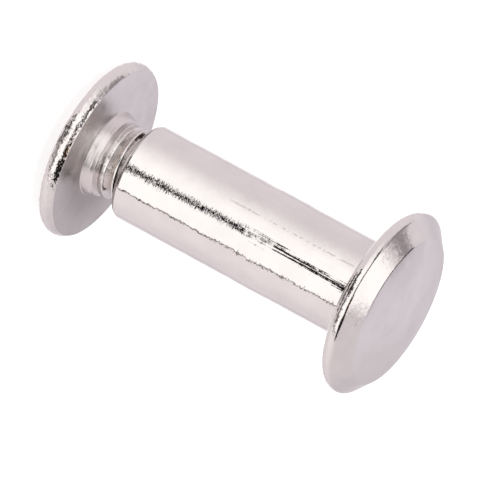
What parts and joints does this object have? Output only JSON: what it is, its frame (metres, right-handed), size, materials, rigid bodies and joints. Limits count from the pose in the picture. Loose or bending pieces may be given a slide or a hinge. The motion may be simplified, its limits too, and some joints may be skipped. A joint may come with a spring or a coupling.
{
  "type": "screw rivet",
  "caption": "Dome head screw rivet: a hollow post with a wide bevelled head, and a slotted dome head screw part way out of its threaded bore.",
  "frame": {"origin": "centre of the screw's face, on the surface that the rivet stands on", "axes": "+Z along the axis of the screw and the post, from the screw's head to the post's head; the driver slot runs along X"},
  "size_m": [0.01, 0.01, 0.0199],
  "materials": {
    "screw_nickel": "bright nickel plating on steel",
    "post_nickel": "bright nickel plating on steel"
  },
  "bodies": {
    "screw": {"slotted_screw": "screw_nickel"},
    "post": {"barrel_post": "post_nickel"}
  },
  "joints": [
    {"name": "screw_travel", "type": "slide", "parent": "screw", "child": "post", "axis": [0, 0, 1], "range_m": [-0.0015, 0.00765]}
  ]
}
